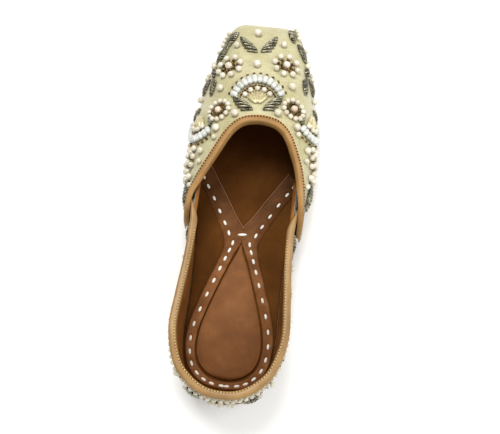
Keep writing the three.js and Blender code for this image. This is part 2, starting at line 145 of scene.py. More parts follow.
# Soft creases in the silk and the linings: a ridge where deep is above 0, a trough below it.
# x, y, z: its middle; turn: its direction in plan, in degrees from the toe; rise: its slope.
CREASES = table(
    "x y z turn rise long wide deep",
    (17, 122, 9, 40, 0.3, 5, 1.6, 0.5), (-18, 121, 9, -42, 0.3, 5, 1.6, 0.45),
    (21, 116, 12, 22, 0.2, 6, 1.8, -0.4), (-22, 115, 12, -24, 0.2, 6, 1.8, -0.4),
    (4, 117, 16, 85, 0, 13, 2.6, 0.35), (-8, 110, 19, 78, 0, 9, 3, -0.3),
    (14, 84, 29, 20, 0, 14, 3.4, -0.35), (-12, 82, 29, -25, 0, 12, 3.4, -0.3),
    (31, 62, 27, 8, 0, 12, 3, 0.35), (-30, 58, 27, -10, 0, 12, 3, 0.3),
    (37, 20, 28, 4, 0, 9, 2.4, -0.4), (-35, 14, 28, -6, 0, 9, 2.4, -0.4))
LINING_CREASES = table(
    "x y z turn rise long wide deep",
    (30, -24, 22, 12, 1.6, 9, 2.2, 0.55), (-30, -30, 21, -9, 1.3, 9, 2.4, 0.6),
    (30, -50, 22, -14, 1.1, 10, 2.6, -0.5), (-30, -58, 22, 10, 0.9, 11, 2.8, -0.5),
    (31, -78, 26, 9, 0.8, 10, 3, 0.5), (-31, -84, 26, -8, 0.7, 10, 3, 0.5),
    (20, -113, 30, 60, 1.4, 8, 2.6, -0.45), (-21, -112, 30, -60, 1.4, 8, 2.6, -0.45))


# ---- the surfaces of the part ----

def cubic(a, b, c, d, f):
    """Catmull-Rom value a share f of the way from b to c."""
    f2, f3 = f * f, f * f * f
    return ((2 * f3 - 3 * f2 + 1) * b + (f3 - 2 * f2 + f) * (c - a) / 2
            + (3 * f2 - 2 * f3) * c + (f3 - f2) * (d - b) / 2)


def along(rows, at, key, closed=False):
    """A smooth value from a table whose first row lies on the middle line of the shoe."""
    column = rows[key]
    flip = -1 if key in ODD else 1
    ahead = flip * column[-2] if closed else 2 * column[-1] - column[-2]
    ext = np.concatenate(([flip * column[1]], column, [ahead]))
    at = np.asarray(at, float)
    m = np.clip(np.abs(at), 0, len(column) - 1)
    i = np.minimum(m.astype(int), len(column) - 2)
    value = cubic(ext[i], ext[i + 1], ext[i + 2], ext[i + 3], m - i)
    return np.where(at < 0, flip * value, value)


def through(rows, share, key):
    """A smooth value from a table that runs from one end to the other, by a 0 to 1 share."""
    column = rows[key]
    first, last = 2 * column[0] - column[1], 2 * column[-1] - column[-2]
    ext = np.concatenate(([first], column, [last]))
    at = np.clip(np.asarray(share, float), 0, 1) * (len(column) - 1)
    i = np.minimum(at.astype(int), len(column) - 2)
    return cubic(ext[i], ext[i + 1], ext[i + 2], ext[i + 3], at - i)


def underside(y):
    """Height of the underside of the outsole, a curve that never overshoots its table."""
    ys, zs = SOLE_LINE["y"], SOLE_LINE["z"]
    width = -np.diff(ys)
    rate = np.diff(zs) / width
    p, q = rate[:-1], rate[1:]
    both = np.where(p + q == 0, 1, p + q)
    slope = np.concatenate((rate[:1], np.where(p * q <= 0, 0, 2 * p * q / both), rate[-1:]))
    y = np.asarray(y, float)
    i = np.clip(np.searchsorted(-ys, -y, side="right") - 1, 0, len(ys) - 2)
    f = np.clip((ys[i] - y) / width[i], 0, 1)
    f2, f3 = f * f, f * f * f
    return ((2 * f3 - 3 * f2 + 1) * zs[i] + (f3 - 2 * f2 + f) * slope[i] * width[i]
            + (3 * f2 - 2 * f3) * zs[i + 1] + (f3 - f2) * slope[i + 1] * width[i])


def seat(y):
    return underside(y) + OUTSOLE_THICK


def bed(y):
    return seat(y) + GAP + INSOLE_THICK


def unit(v):
    return v / np.maximum(np.linalg.norm(v, axis=-1, keepdims=True), 1e-9)


def outline(at, inset):
    """Points of the outline drawn in by inset, and their normals."""
    at = np.asarray(at, float)
    m = np.abs(at)
    side = np.where(at < 0, -1, 1)
    ahead = np.minimum(m + STEP, HEEL)
    dx = along(OUTLINE, ahead, "x", True) - along(OUTLINE, m - STEP, "x", True)
    dy = along(OUTLINE, ahead, "y", True) - along(OUTLINE, m - STEP, "y", True)
    size = np.hypot(dx, dy)
    nx, ny = -dy / size * side, dx / size
    x = along(OUTLINE, m, "x", True) * side
    y = along(OUTLINE, m, "y", True)
    return x - nx * inset, y - ny * inset, nx, ny


def panel(rows, at, t):
    """Points on the outside of a panel: at runs across it, t up each rib from sole to edge."""
    at, t = np.broadcast_arrays(np.asarray(at, float), np.asarray(t, float))
    s = along(rows, at, "s")
    if rows is QUARTER:
        x, y, nx, ny = outline(np.where(s < 0, -1, 1) * (HEEL - np.abs(s)), along(rows, at, "inset"))
        aside = 0
    else:
        x, y, nx, ny = outline(s, WELT)
        aside = along(rows, at, "off")
    normal = np.stack([nx, ny, 0 * nx], -1)
    up = np.array([0, 0, 1.0])
    p0 = np.stack([x, y, seat(y) + GAP], -1)
    p3 = np.stack([along(rows, at, "x") + aside, along(rows, at, "y"), along(rows, at, "z")], -1)
    p1 = p0 + normal * along(rows, at, "lean")[..., None] + up * along(rows, at, "rise")[..., None]
    way = (p0 - p3) * [1, 1, 0] + normal * PULL
    p2 = p3 + unit(way) * along(rows, at, "reach")[..., None] - up * along(rows, at, "fall")[..., None]
    t = t[..., None]
    r = 1 - t
    return p0 * r ** 3 + p1 * 3 * r * r * t + p2 * 3 * r * t * t + p3 * t ** 3


def facing(rows, at, t):
    """Outward normals of a panel."""
    last = len(rows["s"]) - 1
    at, t = np.broadcast_arrays(np.asarray(at, float), np.asarray(t, float))
    up = panel(rows, at, np.minimum(t + STEP, 1)) - panel(rows, at, np.maximum(t - STEP, 0))
    over = (panel(rows, np.minimum(at + STEP, last), t)
            - panel(rows, np.maximum(at - STEP, -last), t))
    return unit(np.cross(over, up) if rows is QUARTER else np.cross(up, over))


def creased(points, normals, rows, share=1):
    """Moves points along their normals by the soft creases of a table."""
    push = np.zeros(points.shape[:-1])
    for i in range(len(rows["x"])):
        turn = math.radians(rows["turn"][i])
        way = np.array([math.sin(turn), math.cos(turn), rows["rise"][i]])
        way /= np.linalg.norm(way)
        away = points - [rows["x"][i], rows["y"][i], rows["z"][i]]
        run = away @ way
        aside = np.linalg.norm(away - run[..., None] * way, axis=-1)
        push += rows["deep"][i] * np.exp(-(run / rows["long"][i]) ** 2
                                         - (aside / rows["wide"][i]) ** 2)
    return points + normals * (push * share)[..., None]


# ---- meshes ----

def piece(name, points, faces, material, slot):
    """A smooth mesh object from millimetre points, riding on the shoe."""
    mesh = bpy.data.meshes.new(name)
    mesh.from_pydata((np.asarray(points) * MM).tolist(), [], faces)
    mesh.validate()
    for one in material if isinstance(material, (list, tuple)) else [material]:
        mesh.materials.append(one)
    mesh.polygons.foreach_set("use_smooth", [True] * len(mesh.polygons))
    work = bmesh.new()
    work.from_mesh(mesh)
    bmesh.ops.recalc_face_normals(work, faces=work.faces)
    work.to_mesh(mesh)
    work.free()
    thing = bpy.data.objects.new(name, mesh)
    bpy.context.scene.collection.objects.link(thing)
    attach(thing, "root")
    return thing


def grid_faces(n, m, wrap=False, start=0):
    """Quads of an n by m grid of points, closed along m where wrap."""
    i, j = np.meshgrid(np.arange(n - 1), np.arange(m if wrap else m - 1), indexing="ij")
    k = (j + 1) % m
    quads = np.stack([i * m + j, (i + 1) * m + j, (i + 1) * m + k, i * m + k], -1)
    return (quads.reshape(-1, 4) + start).tolist()


def swept(rings):
    """Points and faces of closed rings joined one to the next, with both ends capped."""
    n, m = rings.shape[:2]
    faces = grid_faces(n, m, wrap=True)
    faces.append(list(range(m)))
    faces.append(list(range((n - 1) * m, n * m))[::-1])
    return rings.reshape(-1, 3), faces


def run_of(line):
    """Length from the start of a line to each of its points."""
    return np.concatenate(([0], np.cumsum(np.linalg.norm(np.diff(line, axis=0), axis=1))))


def sampled(line, length, at):
    """The three columns of a line at lengths along it."""
    return np.stack([np.interp(at, length, line[:, k]) for k in range(3)], -1)


def resample(line, pitch):
    """Points a fixed pitch apart along a line, with the way the line runs at each."""
    length = run_of(line)
    count = max(int(length[-1] / pitch), 1)
    at = (np.arange(count) + 0.5) * length[-1] / count
    ahead, back = sampled(line, length, at + 0.1), sampled(line, length, at - 0.1)
    return sampled(line, length, at), unit(ahead - back)


def lathe(profile, sides):
    """A closed ring turned round Z from a closed profile of (radius, height)."""
    turn = np.arange(sides) * 2 * math.pi / sides
    r, h = np.array(profile, float).T
    rings = np.stack([np.outer(r, np.cos(turn)), np.outer(r, np.sin(turn)),
                      np.repeat(h[:, None], sides, 1)], -1)
    rings = np.concatenate((rings, rings[:1]))
    n = len(profile)
    faces = [[q % (n * sides) for q in quad] for quad in grid_faces(n + 1, sides, wrap=True)]
    return rings[:n].reshape(-1, 3), faces


def ball():
    work = bmesh.new()
    bmesh.ops.create_icosphere(work, subdivisions=3, radius=1)
    points = np.array([v.co[:] for v in work.verts])
    faces = [[v.index for v in f.verts] for f in work.faces]
    work.free()
    return points, faces


BALL = ball()
SEED = lathe([(0.3, -0.55), (0.72, -0.6), (0.98, -0.3), (1.05, 0), (0.98, 0.3), (0.72, 0.6),
              (0.3, 0.55), (0.22, 0)], 12)


def long_bead(flatness):
    """A ball drawn out along Z: the sides run straighter as flatness grows."""
    points, faces = BALL
    z = np.abs(points[:, 2])
    swell = np.sqrt((1 - z ** flatness + 1e-6) / (1 - z ** 2 + 1e-6))
    return points * np.stack([swell, swell, swell * 0 + 1], -1), faces


BUGLE = long_bead(4.5)


class Batch:
    """Many small closed meshes sewn on as one piece."""

    def __init__(self):
        self.points = []
        self.faces = []
        self.count = 0

    def add(self, points, faces):
        start = self.count
        self.points.append(points)
        self.faces.extend([[k + start for k in f] for f in faces])
        self.count += len(points)

    def put(self, shape, middle, axis, normal, size):
        """A copy of a shape with its Z along axis; size is (across, high, along)."""
        axis = unit(np.asarray(axis, float))
        across = unit(np.cross(axis, normal))
        high = np.cross(across, axis)
        turn = np.stack([across, high, axis])
        self.add((shape[0] * size) @ turn + middle, shape[1])

    def coil(self, line, normals, radius):
        """A tightly wound wire coil laid along a line."""
        length = run_of(line)
        at = np.linspace(0, length[-1], max(int(length[-1] / (COIL_PITCH / 4)), 6))
        middle, normal = sampled(line, length, at), sampled(normals, length, at)
        way = unit(np.gradient(middle, axis=0))
        across = unit(np.cross(way, normal))
        high = np.cross(across, way)
        turn = np.arange(COIL_SIDES) * 2 * math.pi / COIL_SIDES
        wave = 0.94 + 0.07 * np.cos(2 * math.pi * at[:, None] / COIL_PITCH - turn)
        edge = np.minimum(at, length[-1] - at) / radius
        wave = wave * np.sqrt(np.clip(0.15 + edge, 0.15, 1))[:, None] * radius
        ring = (middle[:, None] + across[:, None] * (wave * np.cos(turn))[..., None]
                + high[:, None] * (wave * np.sin(turn))[..., None])
        self.add(*swept(ring))

    def make(self, name, material, slot):
        return piece(name, np.concatenate(self.points), self.faces, material, slot)


# ---- materials ----

class Finish:
    """A Principled material whose colour and bump come from nodes measured in millimetres."""

    def __init__(self, name, roughness, metallic=0.0, sheen=0.0, coat=0.0, subsurface=0.0,
                 specular=0.5):
        self.material = bpy.data.materials.new(name)
        self.material.use_nodes = True
        self.tree = self.material.node_tree
        self.shader = self.tree.nodes["Principled BSDF"]
        self.set(self.shader, Roughness=roughness, Metallic=metallic, Specular_IOR_Level=specular,
                 Sheen_Weight=sheen, Sheen_Roughness=0.5, Coat_Weight=coat, Coat_Roughness=0.12,
                 Subsurface_Weight=subsurface, Subsurface_Scale=0.002)
        self.place = self.node("ShaderNodeTexCoord").outputs["Object"]
        self.normal = None

    @staticmethod
    def set(node, **values):
        """Sets inputs of a node; an underscore stands for a space in an input's name."""
        for name, value in values.items():
            node.inputs[name.replace("_", " ")].default_value = value

    def node(self, kind, **values):
        made = self.tree.nodes.new(kind)
        self.set(made, **values)
        return made

    def link(self, a, b):
        self.tree.links.new(a, b)

    def scaled(self, stretch=(1, 1, 1)):
        """Object places in millimetres, stretched."""
        mapping = self.node("ShaderNodeMapping", Scale=[k / MM for k in stretch])
        self.link(self.place, mapping.inputs["Vector"])
        return mapping.outputs["Vector"]

    def noise(self, size, detail=3, rough=0.55, stretch=(1, 1, 1)):
        """Noise whose features are about size millimetres."""
        texture = self.node("ShaderNodeTexNoise", Scale=1 / size, Detail=detail, Roughness=rough)
        self.link(self.scaled(stretch), texture.inputs["Vector"])
        return texture.outputs["Fac"]

    def cells(self, size):
        texture = self.node("ShaderNodeTexVoronoi", Scale=1 / size)
        self.link(self.scaled(), texture.inputs["Vector"])
        return texture.outputs["Distance"]

    def bands(self, pitch, direction, distortion=0.6):
        texture = self.node("ShaderNodeTexWave", Scale=math.pi / (10 * pitch),
                            Distortion=distortion, Detail=1, Detail_Scale=1.5)
        texture.bands_direction = direction
        self.link(self.scaled(), texture.inputs["Vector"])
        return texture.outputs["Fac"]

    def ramp(self, value, *stops):
        node = self.node("ShaderNodeValToRGB")
        elements = node.color_ramp.elements
        while len(elements) < len(stops):
            elements.new(0.5)
        for element, (place, colour) in zip(elements, stops):
            element.position = place
            element.color = (*colour, 1)
        self.link(value, node.inputs["Fac"])
        return node.outputs["Color"]

    def blend(self, kind, factor, a, b):
        node = self.node("ShaderNodeMix")
        node.data_type = "RGBA"
        node.blend_type = kind
        node.inputs["Factor"].default_value = factor
        self.link(a, node.inputs["A"])
        self.link(b, node.inputs["B"])
        return node.outputs["Result"]

    def with_painted_shade(self, colour, start, end, shade):
        """Painted shade: turns a colour darker from one place along the shoe to another."""
        split = self.node("ShaderNodeSeparateXYZ")
        self.link(self.place, split.inputs["Vector"])
        share = self.node("ShaderNodeMapRange", From_Min=start * MM, From_Max=end * MM)
        self.link(split.outputs["Y"], share.inputs["Value"])
        tint = self.ramp(share.outputs["Result"], (0, (1, 1, 1)), (1, shade))
        return self.blend("MULTIPLY", 1, colour, tint)

    def colour(self, socket):
        self.link(socket, self.shader.inputs["Base Color"])

    def roughness(self, value, low, high):
        node = self.node("ShaderNodeMapRange", To_Min=low, To_Max=high)
        self.link(value, node.inputs["Value"])
        self.link(node.outputs["Result"], self.shader.inputs["Roughness"])

    def bump(self, height, depth, strength=1.0):
        """Adds relief of about depth millimetres."""
        node = self.node("ShaderNodeBump", Strength=strength, Distance=depth * MM)
        self.link(height, node.inputs["Height"])
        if self.normal:
            self.link(self.normal, node.inputs["Normal"])
        self.normal = node.outputs["Normal"]
        self.link(self.normal, self.shader.inputs["Normal"])


def silk():
    f = Finish("cream_raw_silk", 0.5, sheen=0.35)
    tone = f.ramp(f.noise(22, 3), (0.32, (0.42, 0.385, 0.2)), (0.7, (0.55, 0.52, 0.33)))
    slub = f.ramp(f.noise(0.9, 3, 0.6, (0.14, 1, 0.5)), (0.35, (0.8, 0.78, 0.7)), (0.65, (1, 1, 1)))
    cross = f.ramp(f.noise(0.8, 3, 0.6, (1, 0.12, 1)), (0.35, (0.86, 0.84, 0.78)), (0.65, (1, 1, 1)))
    f.colour(f.blend("MULTIPLY", 0.8, f.blend("MULTIPLY", 0.8, tone, slub), cross))
    for direction in ("X", "Y", "Z"):
        f.bump(f.bands(0.42, direction), 0.05, 0.5)
    f.bump(f.noise(0.9, 3, 0.6, (0.14, 1, 0.5)), 0.12, 0.5)
    f.bump(f.noise(9, 2), 0.5, 0.35)
    f.roughness(f.noise(3, 2), 0.42, 0.62)
    return f.material


def leather(name, dark, mid, light, rough, grain=0.55, depth=0.09, patch=14, coat=0.0,
            specular=0.4, painted_shade=None):
    """Leather of a given colour: cloudy patches, pores and fine wrinkles.

    The last argument is a start, an end and a shade: painted shade darkens the colour from one place to
    the other, for the shade under the vamp.
    """
    f = Finish(name, rough, coat=coat, specular=specular)
    base = f.ramp(f.noise(patch, 4, 0.6), (0.3, dark), (0.52, mid), (0.75, light))
    pores = f.ramp(f.cells(grain), (0.05, (0.72, 0.7, 0.68)), (0.45, (1, 1, 1)))
    colour = f.blend("MULTIPLY", 0.55, base, pores)
    f.colour(f.with_painted_shade(colour, *painted_shade) if painted_shade else colour)
    f.bump(f.cells(grain), depth)
    f.bump(f.noise(grain * 4, 4, 0.65), depth * 2, 0.5)
    f.bump(f.noise(patch, 2), depth * 4, 0.3)
    f.roughness(f.noise(patch / 2, 3), rough - 0.08, rough + 0.12)
    return f.material


def bead(name, dark, light, rough, metallic=0.0, coat=0.0, subsurface=0.0, patch=5.0, depth=0.03):
    """Beads and wire: the colour drifts from bead to bead, with small dents."""
    f = Finish(name, rough, metallic, coat=coat, subsurface=subsurface)
    f.colour(f.ramp(f.noise(patch, 2), (0.36, dark), (0.64, light)))
    f.bump(f.noise(0.7, 2), depth, 0.5)
    f.roughness(f.noise(patch, 2), max(rough - 0.06, 0.03), rough + 0.1)
    return f.material


def thread(name, dark, light):
    f = Finish(name, 0.6, sheen=0.3)
    f.colour(f.ramp(f.noise(1.1, 3), (0.3, dark), (0.7, light)))
    f.bump(f.bands(0.42, "DIAGONAL", 0.3), 0.12, 0.8)
    return f.material


SILK = silk()
TAN = leather("tan_kid", (0.24, 0.125, 0.036), (0.31, 0.168, 0.052), (0.39, 0.226, 0.082), 0.46, 0.5,
              0.06, 16, specular=0.3)
GOLDEN_TAN = leather("golden_tan_kid", (0.2, 0.108, 0.032), (0.265, 0.148, 0.046),
                     (0.335, 0.198, 0.07), 0.42, 0.5, 0.05, 18, 0.08, 0.3)
# Painted highlight: the thin lip along each binding's outer edge is pale for the light that edge
# catches.
LIP_HIGHLIGHT = leather("lip_painted_highlight", (0.5, 0.37, 0.2), (0.6, 0.47, 0.27), (0.68, 0.56, 0.36), 0.45, 0.4, 0.04)
# Painted shade: the lining, the insole and the margin darken towards the toe, where the vamp shades the
# inside.
LINING = leather("brown_lining", (0.165, 0.06, 0.014), (0.23, 0.09, 0.021),
                 (0.31, 0.13, 0.034), 0.68, 0.6, 0.07, 22, specular=0.05,
                 painted_shade=(-10, 22, (0.3, 0.23, 0.2)))
INSOLE = leather("insole_leather", (0.06, 0.02, 0.003), (0.085, 0.03, 0.005),
                 (0.115, 0.045, 0.009), 0.68, 0.6, 0.07, 24, specular=0.04,
                 painted_shade=(-5, 45, (0.55, 0.42, 0.35)))
MARGIN_SKIN = leather("margin_leather", (0.125, 0.046, 0.012), (0.19, 0.075, 0.023),
                      (0.26, 0.112, 0.04), 0.56, 0.7, 0.12, 9, specular=0.1,
                      painted_shade=(-50, 0, (0.46, 0.42, 0.34)))
PAD_SKIN = leather("pad_leather", (0.135, 0.048, 0.012), (0.18, 0.068, 0.019), (0.24, 0.1, 0.032),
                   0.56, 0.55, 0.1, 20, specular=0.15)
SOLE_SKIN = leather("sole_leather", (0.13, 0.06, 0.026), (0.21, 0.105, 0.048), (0.3, 0.16, 0.08),
                    0.6, 0.8, 0.1, 18, specular=0.25)
EDGE_LINE = leather("cut_edge", (0.2, 0.09, 0.045), (0.26, 0.125, 0.065), (0.34, 0.18, 0.1), 0.55,
                    specular=0.2)
# Painted shade: a dark disc stands for the shade inside each stitch hole.
HOLE_SHADE = leather("stitch_hole_shade", (0.02, 0.008, 0.003), (0.035, 0.013, 0.005), (0.055, 0.02, 0.008), 0.7,
               specular=0.1)
PEARL = bead("ivory_pearl", (0.5, 0.45, 0.33), (0.68, 0.64, 0.53), 0.22, coat=0.5, subsurface=0.08)
BLUSH = bead("blush_pearl", (0.56, 0.41, 0.3), (0.7, 0.56, 0.44), 0.22, coat=0.5, subsurface=0.08)
BUGLE_WHITE = bead("white_bugle", (0.45, 0.46, 0.42), (0.6, 0.61, 0.57), 0.22, coat=0.5)
CHAMPAGNE = bead("champagne_tube", (0.46, 0.39, 0.19), (0.66, 0.59, 0.36), 0.24, 0.35, 0.5)
PEWTER = bead("pewter_dabka", (0.07, 0.063, 0.042), (0.34, 0.32, 0.23), 0.2, 1.0, patch=2.4, depth=0.01)
GOLD_SEED = bead("dark_gold_seed", (0.07, 0.038, 0.01), (0.3, 0.2, 0.065), 0.22, 0.9, patch=2.6)
COPPER_SEED = bead("copper_seed", (0.065, 0.028, 0.008), (0.3, 0.16, 0.055), 0.22, 0.9, patch=2.6)
WHITE_THREAD = thread("white_cotton", (0.68, 0.64, 0.54), (0.88, 0.86, 0.8))
GOLD_THREAD = thread("gold_thread", (0.42, 0.26, 0.08), (0.64, 0.44, 0.18))


# ---- upper ----

def upper_panel(name, rows, across, up):
    """Silk outside and leather inside, as one shell closed round its edges."""
    last = len(rows["s"]) - 1
    at = np.linspace(-last, last, across)[:, None]
    t = np.linspace(0, 1, up)[None]
    normal = facing(rows, at, t)
    flat = panel(rows, at, t)
    outer = creased(flat, normal, CREASES)
    inner = creased(flat, normal, LINING_CREASES, 1 if rows is QUARTER else 0) - normal * WALL
    for layer in (outer, inner):
        layer[:, 0, 2] = seat(layer[:, 0, 1]) + 0.05
    points = np.concatenate((outer.reshape(-1, 3), inner.reshape(-1, 3)))
    outside = grid_faces(across, up)
    inside = grid_faces(across, up, start=across * up)
    rim = [i * up for i in range(across)]
    rim += [(across - 1) * up + j for j in range(1, up)]
    rim += [i * up + up - 1 for i in range(across - 2, -1, -1)]
    rim += [j for j in range(up - 2, 0, -1)]
    edge = [[a, b, b + across * up, a + across * up] for a, b in zip(rim, rim[1:] + rim[:1])]
    made = piece(name, points, outside + inside + edge, [SILK, LINING], "upper")
    kinds = [0] * len(outside) + [1] * (len(inside) + len(edge))
    made.data.polygons.foreach_set("material_index", kinds)
    tree = BVHTree.FromPolygons(outer.reshape(-1, 3).tolist(), outside)
    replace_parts(made, "upper")
    return tree


VAMP_SKIN = upper_panel("vamp", VAMP, 261, 61)
QUARTER_SKIN = upper_panel("quarter", QUARTER, 241, 41)


# ---- bindings ----

class Edge:
    """Places beside the edge of a panel: back is the way down it, off the height above it."""

    def __init__(self, rows, at):
        self.rows = rows
        self.at = at
        self.shares = np.linspace(1, 0, 121)
        line = panel(rows, at[:, None], self.shares[None])
        step = np.linalg.norm(np.diff(line, axis=1), axis=-1)
        self.length = np.concatenate((np.zeros((len(at), 1)), np.cumsum(step, 1)), 1)
        self.height = self.length[:, -1]
        self.edge = line[:, 0]
        self.normal = facing(rows, at, 1.0)
        self.above = unit(self.edge - panel(rows, at, 1 - STEP))

    def place(self, back, off):
        back = np.broadcast_to(back, self.at.shape)
        off = np.broadcast_to(off, self.at.shape)[:, None]
        t = np.array([np.interp(max(b, 0), row, self.shares) for b, row in zip(back, self.length)])
        down = panel(self.rows, self.at, t) + facing(self.rows, self.at, t) * off
        over = self.edge - self.above * back[:, None] + self.normal * off
        return np.where(back[:, None] < 0, over, down)


def binding(name, node, rows, end, count, leg, material):
    """Folded leather over the edge of a panel, with a sewn trough along its outer leg."""
    edge = Edge(rows, np.linspace(-end, end, count))
    turn = np.maximum(along(rows, edge.at, "turn"), LEAST_TURN) if rows is VAMP else np.ones(count)
    most = edge.height * TRIM_SHARE
    outer = np.minimum(leg, most)
    inner = np.minimum(INNER_LEG * turn - GAP * (1 - turn), most)
    lining = -WALL - turn * (GAP + TRIM)
    last = np.minimum(0, inner - GAP)
    path = [
        (outer, 0.06), (outer, 0.5), (outer - 0.2, 0.82), (outer - 0.6, 1.0), (outer - 1.1, 0.94),
        (outer - 1.5, 0.78), (outer - 1.9, 0.94), (outer - 2.4, 1.06), (outer * 0.3, 1.14),
        (outer * 0.2, 1.22), (0.4, 1.3), (-0.2, 1.26), (-0.75, 1.02), (-1.12, 0.6), (-1.28, 0),
        (-1.3, -WALL / 2), (-1.26, -WALL * 0.9), (-1.05, lining + 0.3 * turn),
        (np.minimum(-0.6, last), lining + 0.1 * turn), (last, lining), (inner * 0.5, lining),
        (inner - 0.3 * turn, lining + 0.1 * turn), (inner, lining + 0.5 * turn),
        (inner, -WALL - 0.05), (-0.3, -WALL - 0.05), (-0.3, 0.05), (outer * 0.5, 0.06),
    ]
    full = np.ones(count)
    if rows is QUARTER:
        full = np.clip((end - np.abs(edge.at)) / TAPER, 0.02, 1)
        full = full * full * (3 - 2 * full)
    rings = np.stack([edge.place(back + TUCK_DOWN * (1 - full), off * full + TUCK_OUT * (1 - full))
                      for back, off in path], 1)
    made = piece(name, *swept(rings), material, node)
    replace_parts(made, node)
    return edge, outer


def saddle_row(line, normal, pitch, hole_shades, threads, hole, thick=0.24):
    """A row of stitches: a dark disc of painted shade for the hole at each end of a short raised thread.
    """
    points, ways = resample(line, pitch)
    normals = sampled(normal, np.linspace(0, 1, len(line)), np.linspace(0, 1, len(points)))
    for k, (p, way) in enumerate(zip(points, ways)):
        up = unit(normals[k])
        hole_shades.put(BALL, p + up * 0.02, way, up, (hole, 0.16, hole * 1.15))
        if k + 1 < len(points):
            middle = (p + points[k + 1]) / 2
            threads.put(BALL, middle + up * 0.02, way, up, (thick * 1.1, thick, pitch * 0.33))


def tube(line, normals, radius, sides=10):
    """A thin round strip along a line."""
    way = unit(np.gradient(line, axis=0))
    across = unit(np.cross(way, normals))
    high = np.cross(across, way)
    turn = np.arange(sides) * 2 * math.pi / sides
    rings = (line[:, None] + across[:, None] * (radius * np.cos(turn))[None, :, None]
             + high[:, None] * (radius * np.sin(turn))[None, :, None])
    return swept(rings)


vamp_end = len(VAMP["s"]) - 1
throat, throat_leg = binding(
    "vamp_binding_leather", "vamp_binding", VAMP, vamp_end, 420, VAMP_LEG, TAN)
collar, collar_leg = binding(
    "quarter_binding_leather", "quarter_binding", QUARTER, TUCKED_END, 360, QUARTER_LEG,
    GOLDEN_TAN)

STITCH_PITCH = 1.9
INSIDE_PITCH = 1.75
throat_row, collar_row = slice(28, -28), slice(24, -24)  # the covered ends have no stitches
hole_shades, gold = Batch(), Batch()
saddle_row(throat.place(throat_leg - 1.2, 0.92)[throat_row], throat.normal[throat_row],
           STITCH_PITCH, hole_shades, gold, 0.66)
saddle_row(collar.place(collar_leg - 1.5, 0.82)[collar_row], collar.normal[collar_row],
           STITCH_PITCH, hole_shades, gold, 0.3, 0.2)
inner_row = (collar.place(-1.22, -2.35) + collar.above * 0.1)[collar_row]
saddle_row(inner_row, collar.above[collar_row], INSIDE_PITCH, hole_shades, gold, 0.24, 0.34)
hole_shades.make("binding_hole_shades", HOLE_SHADE, "vamp_binding")
gold.make("binding_gold_stitches", GOLD_THREAD, "quarter_binding")
# A thin raised lip along the outer edge of each binding, coloured pale as painted highlight.
lip_highlight = Batch()
lip_highlight.add(*tube(throat.place(throat_leg + 0.32, 0.22), throat.normal, 0.42))
lip_highlight.add(*tube(collar.place(collar_leg + 0.28, 0.2), collar.normal, 0.34))
lip_highlight.make("binding_lip_highlight", LIP_HIGHLIGHT, "vamp_binding")


# ---- sole and what lies inside ----

def plate(rows, layers, across=25, crown=None):
    """A flat piece whose rows run across the shoe, rounded by layers of (height, inset).

    crown(x, y, half) lifts the top face; half is half the width of the row.
    """
    x, y, nx, ny = rows
    share = np.linspace(1, -1, across)
    right = []
    for height, inset in layers:
        px = np.maximum(x - inset * nx, 0.05)
        py = y - inset * ny
        right.append(np.stack([px, py, height(py)], -1))
    low = right[-1][:, None] * np.stack([share, share * 0 + 1, share * 0 + 1], -1)
    top = right[0][:, None] * np.stack([share[::-1], share * 0 + 1, share * 0 + 1], -1)
    if crown:
        top[..., 2] += crown(top[..., 0], top[..., 1], right[0][:, None, 0])
    left = [p * [-1, 1, 1] for p in right]
    rings = np.concatenate([np.stack(right[1:-1], 1), low, np.stack(left[1:-1][::-1], 1), top], 1)
    return swept(rings)


def outline_rows(start, end, count, inset):
    at = np.linspace(start, end, count)
    return outline(at, inset(at) if callable(inset) else inset)


def rounded(top, bottom, radius):
    """Layers from a top height to a bottom height with both edges rounded."""
    layers = []
    for i in range(ROUND_STEPS + 1):
        turn = math.pi / 2 * i / ROUND_STEPS
        drop, inset = radius * (1 - math.cos(turn)), radius * (1 - math.sin(turn))
        layers.append((lambda y, d=drop: top(y) - d, inset))
    for i in range(ROUND_STEPS + 1):
        turn = math.pi / 2 * i / ROUND_STEPS
        lift, inset = radius * (1 - math.sin(turn)), radius * (1 - math.cos(turn))
        layers.append((lambda y, d=lift: bottom(y) + d, inset))
    return layers


sole = piece("outsole_leather", *plate(outline_rows(1, HEEL_END, 200, 0), rounded(
    seat, underside, 0.7)), SOLE_SKIN, "outsole")
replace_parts(sole, "outsole")
lift = piece("heel_lift_leather", *plate(outline_rows(LIFT_FROM, HEEL_END, 80, LIFT_INSET), rounded(
    lambda y: LIFT_THICK + 0 * y, lambda y: 0 * y, 0.5)), SOLE_SKIN, "heel_lift")
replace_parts(lift, "heel_lift")
insole = piece("insole_leather", *plate(
    outline_rows(1, HEEL_END, 180, lambda at: along(OUTLINE, at, "inner", True)),
    rounded(bed, lambda y: seat(y) + GAP * 0.3, 0.4)), INSOLE, "insole")
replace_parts(insole, "insole")

PAD_CROWN = 0.9
share = np.linspace(0, 1, 120)
pad_x, pad_y = through(PAD, share, "x"), through(PAD, share, "y")


def pad_crown(x, y, half):
    """Soft filling, with a hollow worn by the heel."""
    edge = np.clip(1 - (x / np.maximum(half, 0.5)) ** 2, 0, 1)
    worn = np.exp(-((y + 92) / 17) ** 2 - (x / 13) ** 2)
    return PAD_CROWN * np.minimum(half / 8, 1) * np.sqrt(edge) - 0.45 * worn


pad_layers = rounded(lambda y: bed(y) + GAP + PAD_THICK, lambda y: bed(y) + 0.02, 0.5)
pad_way = np.gradient(np.stack([pad_x, pad_y]), axis=1)
pad_size = np.hypot(*pad_way)
pad = piece("heel_pad_cushion", *plate(
    (pad_x, pad_y, -pad_way[1] / pad_size, pad_way[0] / pad_size), pad_layers, 31, pad_crown),
    PAD_SKIN, "heel_pad")
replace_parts(pad, "heel_pad")

